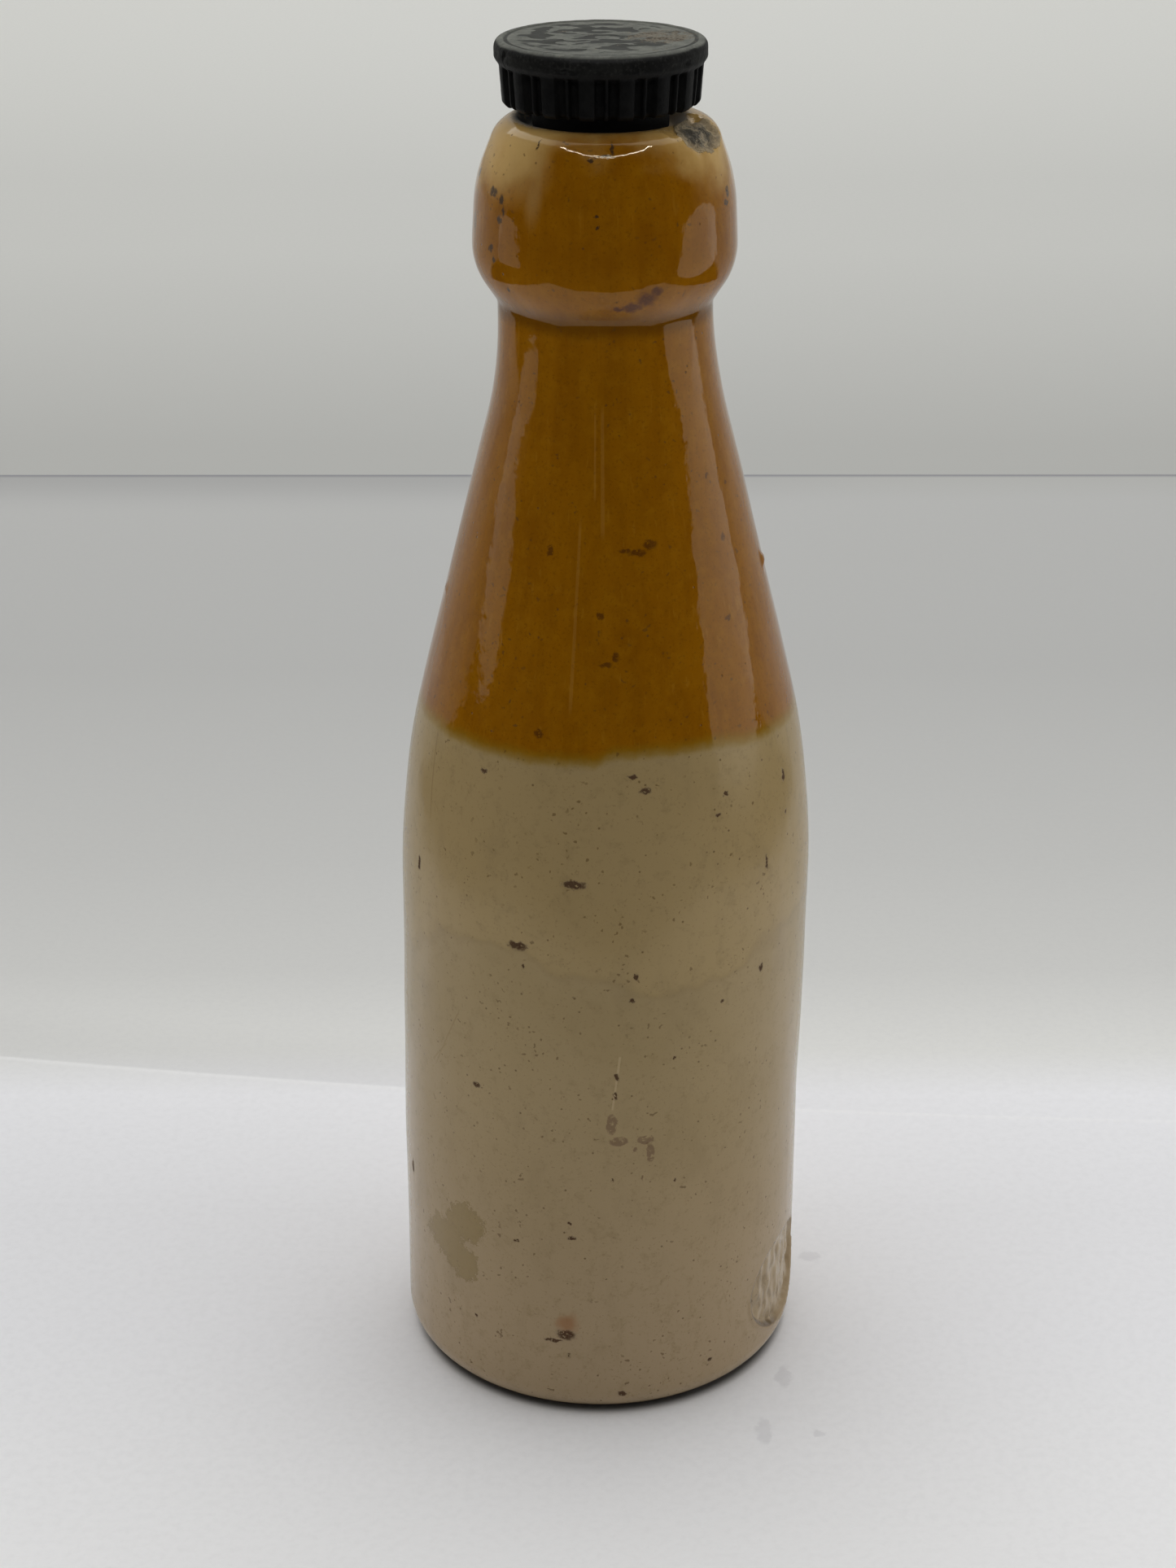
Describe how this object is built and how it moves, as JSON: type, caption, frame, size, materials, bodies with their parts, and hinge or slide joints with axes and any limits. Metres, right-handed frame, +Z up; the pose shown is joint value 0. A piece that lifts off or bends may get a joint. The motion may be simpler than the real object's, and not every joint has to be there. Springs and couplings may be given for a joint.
{
  "type": "stoneware ginger beer bottle",
  "caption": "Two-tone stoneware ginger beer bottle with a blob lip and a ribbed internal screw stopper on a rubber washer.",
  "frame": {"origin": "middle of the foot, on the surface that the bottle stands on", "axes": "+Z up the axis of the bottle, -Y towards the side that faces the viewer, +X to the viewer's right"},
  "size_m": [0.0676, 0.0676, 0.2236],
  "materials": {
    "glazed_stoneware": "cream glaze below, honey ochre glaze above, crazed and speckled",
    "washer_rubber": "perished matt black rubber",
    "hard_rubber": "moulded hard rubber, matt, dusty and worn"
  },
  "bodies": {
    "bottle": {"stoneware_bottle": "glazed_stoneware"},
    "washer": {"seal_ring": "washer_rubber"},
    "stopper": {"screw_stopper": "hard_rubber"}
  },
  "joints": [
    {"name": "stopper_rise", "type": "slide", "parent": "bottle", "child": "washer", "axis": [0, 0, 1], "range_m": [0, 0.02]},
    {"name": "stopper_turn", "type": "hinge", "parent": "washer", "child": "stopper", "pos_m": [0, 0, 0.21], "axis": [0, 0, 1], "range_deg": [0, 1800]}
  ],
  "couplings": [
    {"joint": "stopper_rise", "follows": "stopper_turn", "m_per_rad": 0.00063662}
  ]
}
